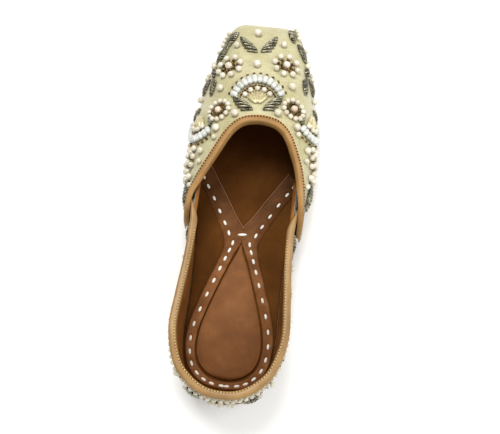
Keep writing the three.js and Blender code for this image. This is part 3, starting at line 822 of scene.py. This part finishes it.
# Hand stitches inside: which share of the margin they cover, how far across it, and their count.
SEAMS = table("start end across count", (0.03, 0.27, 0.7, 6), (0.335, 0.985, 0.5, 15))


def margin_line(share, across):
    """Points on top of the margin, a share along it and a share across from its inner edge."""
    x = through(MARGIN, share, "ix") * (1 - across) + through(MARGIN, share, "ox") * across
    y = through(MARGIN, share, "iy") * (1 - across) + through(MARGIN, share, "oy") * across
    return np.stack([x, y, bed(y) + GAP + PAD_THICK], -1)


def seam_places():
    places = []
    for i in range(len(SEAMS["start"])):
        at = np.linspace(SEAMS["start"][i], SEAMS["end"][i], int(SEAMS["count"][i]))
        line = margin_line(at, SEAMS["across"][i])
        ahead = margin_line(np.minimum(at + 0.005, 1), SEAMS["across"][i])
        back = margin_line(at - 0.005, SEAMS["across"][i])
        places.extend(zip(line, unit(ahead - back)))
    return places


def margin_side(side):
    """One strip, drawn down by each stitch and puckered between them."""
    count, across = 300, 15
    share = np.linspace(0, 1, count)[:, None]
    over = np.linspace(0, 1, across)[None]
    top = margin_line(share, over)
    size = np.linalg.norm(top[:, -1] - top[:, 0], axis=-1)[:, None]
    top[..., 2] -= 0.55 * (1 - np.sqrt(np.clip(over * size / 0.8, 0, 1)))
    soft = 6.5 - 5.5 * np.clip((share - 0.24) / 0.1, 0, 1)  # the arms fade into the lining
    top[..., 2] -= (PAD_THICK + 0.2) * (1 - np.clip((1 - over) * size / soft, 0, 1)) ** 1.6
    for middle, way in seam_places():
        away = top - middle
        run = away @ way
        aside = np.linalg.norm(away - run[..., None] * way, axis=-1)
        top[..., 2] -= 0.35 * np.exp(-(run / 2.2) ** 2 - (aside / 1.2) ** 2)
        top[..., 2] += 0.18 * np.exp(-((np.abs(run) - 3.4) / 1.1) ** 2 - (aside / 2.4) ** 2)
    base = np.stack([top[:, -1], top[:, 0]], 1)
    base[..., 2] = bed(base[..., 1]) + 0.04
    rings = np.concatenate((top, base), 1)
    return swept(rings * [side, 1, 1])


margin = Batch()
edges = Batch()
cotton = Batch()
for side in (1, -1):
    margin.add(*margin_side(side))
    cut = margin_line(np.linspace(0, 0.262, 60), 0.0) * [side, 1, 1] - [0, 0, 0.32]
    edges.add(*tube(cut, np.tile([0, 0, 1.0], (60, 1)), 0.24, 8))
    for middle, way in seam_places():
        flip = np.array([side, 1, 1])
        cotton.put(BALL, middle * flip - [0, 0, 0.05], way * flip, (0, 0, 1), (0.85, 0.55, 1.75))
bar_y = -21.4
cotton.put(BALL, np.array([0, bar_y, bed(bar_y) + GAP + PAD_THICK + 0.1]), (1, 0.12, 0), (0, 0, 1),
           (0.85, 0.6, 3.0))
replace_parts(margin.make("lining_margin_leather", MARGIN_SKIN, "lining_margin"), "lining_margin")
edges.make("margin_cut_edges", EDGE_LINE, "lining_margin")
cotton.make("hand_stitches", WHITE_THREAD, "lining_margin")


# ---- embroidery ----

pearls, blush, bugles, tubes = Batch(), Batch(), Batch(), Batch()
gold_seeds, copper_seeds, coils = Batch(), Batch(), Batch()
wall_pearls, wall_seeds, wall_coils = Batch(), Batch(), Batch()
FAR = 300.0
# The places of the motifs, here and below, follow points picked by eye in the photo, which
# scratch programs cast onto the model; report.md says how.
CLOTH_ORIGIN = (0.2, 53.0)  # just ahead of the throat
CLOTH_TURN = 0.115  # the pattern was laid a little to the left of the last
DOWN = Vector((0, 0, -1))
HEEL_MIDDLE = -80.0  # a place inside the heel, from which its wall faces away
SIDE_SHIFT = 3.8  # the turned pattern lies further ahead on one side than on the other
SIDE_PEARLS = table(
    "y z size", (107, 8.5, 3.2), (98, 8.5, 3.2), (89, 9, 3.2), (79, 9, 3.2), (71, 9.5, 3.2),
    (62, 10, 3.2), (47, 9.5, 3.2), (38, 10, 3.2), (30, 10, 3.2), (21, 10.5, 3.2), (13, 11, 3.2),
    (5, 11, 3.2), (32.5, 17, 3.4), (31, 22, 3.6), (30.5, 28, 3.8), (13.2, 17, 3.4),
    (11.5, 22, 3.6), (36, 38, 3.4), (20, 35.5, 3.4), (4.5, 34.5, 3.4))
LEAF_PADDING = 1.3  # how far the middle of a wire leaf is raised by the thread under it


def hit(tree, start, way):
    point, normal = tree.ray_cast(Vector(start), Vector(way))[:2]
    normal = np.array(normal)
    if normal @ np.array(way) > 0:
        normal = -normal
    return np.array(point), normal


def nearest(tree, at, outward):
    """The place on a skin nearest to a point, with its normal on the outward side."""
    point, normal = tree.find_nearest(Vector(at))[:2]
    normal = np.array(normal)
    return np.array(point), normal if normal @ outward > 0 else -normal


def on_top(x, y, side=1):
    """Places on the vamp seen from above, round a point of the pattern; side mirrors it."""
    cos, sin = math.cos(CLOTH_TURN), math.sin(CLOTH_TURN)

    def where(a, b):
        u, v = side * (x + a), y + b
        at = (CLOTH_ORIGIN[0] + u * cos - v * sin, CLOTH_ORIGIN[1] + u * sin + v * cos)
        return hit(VAMP_SKIN, (*at, FAR), DOWN)
    return where


def on_cloth(x, y, side=1, stretch=1.0):
    """Places on the vamp round a point of the pattern, measured along the cloth itself.

    stretch lengthens what is drawn towards the toe.
    """
    middle, normal = on_top(x, y, side)(0, 0)
    pattern = np.array([-math.sin(CLOTH_TURN), math.cos(CLOTH_TURN), 0])
    ahead = unit(pattern - normal * (normal @ pattern))
    across = np.cross(ahead, normal) * side

    def where(a, b):
        return nearest(VAMP_SKIN, middle + across * a + ahead * b * stretch, normal)
    return where


def on_wall(tree, point, inward, ahead, turn=0.0):
    """Places on a steep wall: a goes up it and b along it, then both are turned."""
    start = np.array(point, float) - np.array(inward) * FAR
    middle, normal = hit(tree, start, inward)
    up = unit(np.array([0, 0, 1.0]) - normal * normal[2])
    along_it = unit(np.array(ahead, float) - normal * (normal @ np.array(ahead, float)))
    c, s = math.cos(turn), math.sin(turn)

    def where(a, b):
        at = middle + up * (a * c - b * s) + along_it * (a * s + b * c)
        return nearest(tree, at, normal)
    return where


def on_side(side, y, z, turn=0.0):
    """A wall place on one side of the vamp; the pattern's turn moves the sides apart."""
    return on_wall(VAMP_SKIN, (0, y + side * SIDE_SHIFT, z), (-side, 0, 0), (0, 1, 0), turn)


def pearl(where, a, b, size, batch=None):
    point, normal = where(a, b)
    (batch or pearls).put(BALL, point + normal * size * 0.44, normal, (1, 0.3, 0.1),
                          (size / 2, size / 2, size * 0.47))


def seed(batch, where, a, b, size, way):
    point, normal = where(a, b)
    ahead = where(a + way[0] * 0.5, b + way[1] * 0.5)[0]
    batch.put(SEED, point + normal * size * 0.42, ahead - point, normal, (size / 2,) * 3)


def bar(batch, where, start, end, radius):
    p, n = where(*start)
    q, m = where(*end)
    half = np.linalg.norm(q - p) / 2
    batch.put(BUGLE, (p + q) / 2 + unit(n + m) * radius * 1.02, q - p, n + m, (radius, radius, half))


def leaf(where, foot, tip, size, strands, tilt, batch=None):
    """A leaf of wire coils side by side over padding.

    The middles of the strands run from foot to tip. Each is about size long and lies at a tilt
    from the a axis, in degrees: one for the strand at the foot and one for that at the tip.
    """
    foot, tip = np.array(foot, float), np.array(tip, float)
    for k in range(strands):
        share = k / (strands - 1)
        angle = math.radians(tilt[0] + (tilt[1] - tilt[0]) * share)
        way = np.array([math.cos(angle), math.sin(angle)])
        half = size / 2 * (1 - 0.3 * abs(2 * share - 0.8) ** 2)
        middle = foot + (tip - foot) * share
        raised = LEAF_PADDING * (1 - 0.7 * (2 * share - 1) ** 2)
        line, normals = [], []
        for u in np.linspace(-1, 1, 7):
            point, normal = where(*(middle + way * half * u))
            line.append(point + normal * (WIRE_RADIUS * 0.8 + raised * (1 - u * u)))
            normals.append(normal)
        (batch or coils).coil(np.array(line), np.array(normals), WIRE_RADIUS)


def polar(radius, degrees):
    angle = math.radians(degrees)
    return radius * math.sin(angle), radius * math.cos(angle)


def star(where):
    """Eight pearls round one, on spokes of two copper seeds."""
    pearl(where, 0, 0, 4.8)
    for k in range(8):
        angle = 45 * k + 20
        pearl(where, *polar(7.7, angle), 4.0)
        for radius in (3.3, 5.1):
            batch = copper_seeds if (k + (radius > 4)) % 3 else gold_seeds
            seed(batch, where, *polar(radius, angle), 2.2, polar(1, angle))


def rosette(where):
    """A ring of small pearls round dark-gold seeds and a blush pearl."""
    pearl(where, 0, 0, 4.3, blush)
    for k in range(11):
        seed(gold_seeds, where, *polar(3.0, 360 / 11 * k), 1.6, polar(1, 360 / 11 * k))
    for k in range(16):
        batch = gold_seeds if k % 3 else copper_seeds
        seed(batch, where, *polar(4.45, 22.5 * k), 1.6, polar(1, 22.5 * k))
    for k in range(RING_PEARLS):
        pearl(where, *polar(6.9, 360 / RING_PEARLS * k), 3.4)


def lotus(where, reach, spread, count, fat):
    """A fan: white bugles in an arc, seeds outside and inside, pearls on champagne tubes."""
    for k in range(count):
        angle = spread * (2 * k / (count - 1) - 1)
        bar(bugles, where, polar(reach - 5.1, angle), polar(reach, angle), fat)
        seed(gold_seeds, where, *polar(reach + 1.8, angle), 1.9, polar(1, angle))
    inside = reach - 6.4
    many = int(inside * math.radians(spread) * 2 / 1.75)
    for k in range(many):
        angle = spread * (2 * k / (many - 1) - 1)
        seed(copper_seeds if k % 4 else gold_seeds, where, *polar(inside, angle), 1.75,
             polar(1, angle))
    ring = reach - 9.0
    fan = spread * 0.78
    for k in range(FAN_PEARLS):
        angle = fan * (2 * k / (FAN_PEARLS - 1) - 1)
        pearl(where, *polar(ring, angle), 3.5)
        bar(tubes, where, polar(1.0, angle), polar(ring - 1.6, angle), 1.1)
        if k + 1 < FAN_PEARLS:
            gap = angle + fan / (FAN_PEARLS - 1)
            bar(tubes, where, polar(3.6, gap), polar(ring - 0.6, gap), 0.7)
            seed(copper_seeds, where, *polar(ring + 0.9, gap), 1.6, polar(1, gap))


def vamp_top():
    lotus(on_cloth(0.7, 3.0, 1, 1.26), 19.2, 63, 12, 1.82)
    cloth = on_top(0, 0)
    pearl(cloth, 0.6, 35.0, 5.0)
    pearl(cloth, 1.6, 62.4, 5.0)
    for side in (1, -1):
        leaf(on_top(0.9 * side, 5.2, side), (6.9, -6.0), (13.3, 4.4), 9.8, 6, (0, 30))
        leaf(on_top(2.2 * side, 0, side), (4.5, 47.0), (10.5, 58.6), 9.2, 6, (8, 34))
        star(on_cloth(18.4 + 1.3 * side, 35.2, side))
        rosette(on_cloth(23.3, 1.2, side))
        flat = on_top(0, 0, side)
        pearl(flat, 15.4 + 3.2 * side, 52.6, 4.3)
        pearl(flat, 22.4, 18.4, 4.6)
        pearl(flat, 12.9, -3.6, 4.8)
        pearl(flat, 24.4, -11.8, 4.6)


def vamp_side(side):
    """Motifs down the side of the vamp, from the toe to the rear flap."""
    corner = on_side(side, 114.5, 14.5)
    leaf(corner, (2.2, 5.8), (1.2, -5.6), 8.8, 7, (24, 40))
    for b in (5.6, 1.9, -1.8, -5.5):
        pearl(corner, -5.4, b, 3.6)
    leaf(on_side(side, 101.5, 15.0), (1.4, 6.0), (0.2, -5.6), 8.6, 7, (24, 40))
    pearl(on_side(side, 92.5, 15.5), 0, 0, 4.3)
    cluster = on_side(side, 81.5, 18.0)
    leaf(cluster, (-0.6, 9.4), (0.6, 2.8), 7.4, 4, (-24, -40))
    leaf(cluster, (-4.0, 0.4), (-5.0, -9.2), 7.6, 6, (30, 44))
    leaf(cluster, (4.4, -0.6), (6.0, -11.0), 7.6, 6, (-26, -40))
    pearl(cluster, -9.6, 3.5, 3.6)
    pearl(on_side(side, 68.0, 15.5), 0, 0, 4.3)
    fan = on_side(side, 55.0, 24.0, math.pi - 0.25)
    lotus(fan, 20.2, 60, 12, 1.8)
    leaf(fan, (-9.4, -3.4), (-13.6, 6.2), 6.0, 6, (170, 145))
    leaf(fan, (9.4, -3.4), (13.6, 6.2), 6.0, 6, (10, 35))
    pearl(on_side(side, 27.5, 34.0), 0, 0, 4.2)
    bloom = on_side(side, 22.0, 24.0)
    pearl(bloom, 0, 0, 4.0)
    for k in range(7):
        angle = 360 / 7 * k + 12
        pearl(bloom, *polar(6.6, angle), 3.8)
        for radius in (3.0, 4.6):
            seed(gold_seeds, bloom, *polar(radius, angle + 25), 1.8, polar(1, angle + 25))
    pearl(on_side(side, 11.0, 31.0), 0, 0, 4.2)
    rear = on_side(side, 0.5, 24.0)
    leaf(rear, (3.4, 7.6), (4.2, -7.0), 6.2, 8, (30, 44))
    leaf(rear, (-3.2, 7.2), (-2.8, -7.6), 6.2, 8, (-30, -44))
    pearl(on_side(side, 2.0, 12.0), 0, 0, 3.8)
    for y, z, size in zip(*SIDE_PEARLS.values()):
        pearl(on_side(side, y, z), 0, 0, size)


def on_quarter(at, z, turn=0.0):
    """A wall place on the quarter: at counts ribs from the middle of the heel."""
    place = (HEEL - abs(at)) * (-1 if at < 0 else 1)
    x, y, nx, ny = (float(v) for v in outline(np.array(place), 0))
    ahead = (ny, -nx, 0) if at < 0 else (-ny, nx, 0)
    return on_wall(QUARTER_SKIN, (x, y, z), (-nx, -ny, 0), ahead, turn)


def quarter_wall():
    """Pearls under the collar, a bloom at the back, and leaves and pearls to the waist."""
    heel = Edge(QUARTER, np.linspace(-4.6, 4.6, 200))
    points, _ = resample(heel.place(QUARTER_LEG + 2.2, 0.0), 3.5)
    for p in points:
        point, normal = nearest(QUARTER_SKIN, p, p - [0, HEEL_MIDDLE, p[2]])
        wall_pearls.put(BALL, point + normal * 1.3, normal, (0, 0, 1), (1.45, 1.45, 1.4))
    back = on_quarter(0.001, 29)
    pearl(back, 0, 0, 4.0, wall_pearls)
    for k in range(8):
        pearl(back, *polar(6.6, 45 * k), 3.2, wall_pearls)
        for radius in (2.9, 4.3):
            seed(wall_seeds, back, *polar(radius, 45 * k + 22), 1.6, polar(1, 45 * k + 22))
    for side in (1, -1):
        for at, z in ((1.55, 29), (3.5, 27), (5.3, 23), (6.9, 21)):
            spray = on_quarter(side * at, z)
            leaf(spray, (3.6, -5.0), (7.4, 4.2), 6.4, 6, (20, 40), wall_coils)
            leaf(spray, (-3.6, -5.0), (-7.4, 4.2), 6.4, 6, (160, 140), wall_coils)
            pearl(spray, 0, 4.2, 3.4, wall_pearls)
        for at, z in ((2.55, 28), (4.45, 25), (6.15, 22)):
            dot = on_quarter(side * at, z)
            pearl(dot, 0, 0, 3.8, wall_pearls)
            for k in range(10):
                seed(wall_seeds, dot, *polar(3.1, 36 * k), 1.5, polar(1, 36 * k))


vamp_top()
for side in (1, -1):
    vamp_side(side)
quarter_wall()
for batch, name, material in (
        (pearls, "vamp_pearls", PEARL), (blush, "vamp_blush_pearls", BLUSH),
        (bugles, "vamp_bugles", BUGLE_WHITE), (tubes, "vamp_champagne_tubes", CHAMPAGNE),
        (gold_seeds, "vamp_gold_seeds", GOLD_SEED), (copper_seeds, "vamp_copper_seeds", COPPER_SEED),
        (coils, "vamp_dabka_leaves", PEWTER), (wall_pearls, "quarter_pearls", PEARL),
        (wall_seeds, "quarter_gold_seeds", GOLD_SEED), (wall_coils, "quarter_dabka_leaves", PEWTER)):
    batch.make(name, material, "upper")


# ---- stage ----

def floor():
    half = 4.0  # metres
    below = -0.1 * MM  # just clear of the flat spots of the sole
    mesh = bpy.data.meshes.new("floor")
    corners = [(-half, -half, below), (half, -half, below), (half, half, below), (-half, half, below)]
    mesh.from_pydata(corners, [], [(0, 1, 2, 3)])
    f = Finish("pale_floor", 0.9)
    f.colour(f.ramp(f.noise(400, 2), (0.3, (0.86, 0.86, 0.855)), (0.7, (0.88, 0.88, 0.875))))
    mesh.materials.append(f.material)
    thing = bpy.data.objects.new("floor", mesh)
    bpy.context.scene.collection.objects.link(thing)


def light(name, place, aim, size, watts, colour=(1, 1, 1)):
    """A round area light; place, aim and size are in metres."""
    data = bpy.data.lights.new(name, "AREA")
    data.shape = "DISK"
    data.size = size
    data.energy = watts
    data.color = colour
    thing = bpy.data.objects.new(name, data)
    thing.location = place
    thing.rotation_mode = "QUATERNION"
    thing.rotation_quaternion = (Vector(aim) - Vector(place)).to_track_quat("-Z", "Y")
    bpy.context.scene.collection.objects.link(thing)


# A program fitted the camera's place to the photo, and it was changed afterwards.
EYE = (12.67, -105.74, 445.2)
AIM = (3.9, -12.7, 25)
LEAN = 6.8  # degrees
LENS = 49.4  # mm, on a sensor 36 mm wide


def camera():
    """The camera stands over the heel; the toe leans a little to the right in its frame."""
    place, target = Vector(EYE) * MM, Vector(AIM) * MM
    lean = math.radians(LEAN)
    forward = (target - place).normalized()
    ahead = Vector((0, 1, 0))
    ahead = (ahead - forward * forward.dot(ahead)).normalized()
    aside = forward.cross(ahead)
    up = ahead * math.cos(lean) - aside * math.sin(lean)
    right = forward.cross(up)
    data = bpy.data.cameras.new("camera")
    data.lens = LENS
    data.sensor_width = 36
    data.clip_start = 0.01
    thing = bpy.data.objects.new("camera", data)
    thing.matrix_world = Matrix.Translation(place) @ Matrix((
        (right.x, up.x, -forward.x), (right.y, up.y, -forward.y), (right.z, up.z, -forward.z),
    )).to_4x4()
    bpy.context.scene.collection.objects.link(thing)
    bpy.context.scene.camera = thing


def world():
    made = bpy.data.worlds.new("studio")
    made.use_nodes = True
    inputs = made.node_tree.nodes["Background"].inputs
    inputs["Color"].default_value = (1, 1, 1, 1)
    inputs["Strength"].default_value = 0.36
    bpy.context.scene.world = made


floor()
camera()
world()
light("key", (-0.22, 0.5, 1.0), (0, 0, 0), 0.6, 12.5, (1, 0.985, 0.96))
light("fill", (0.75, 0.1, 0.75), (0, 0, 0), 0.8, 6.5)
light("rear", (0.1, -0.8, 0.8), (0, -0.05, 0.02), 0.7, 4)
bpy.context.scene.view_settings.view_transform = "Standard"
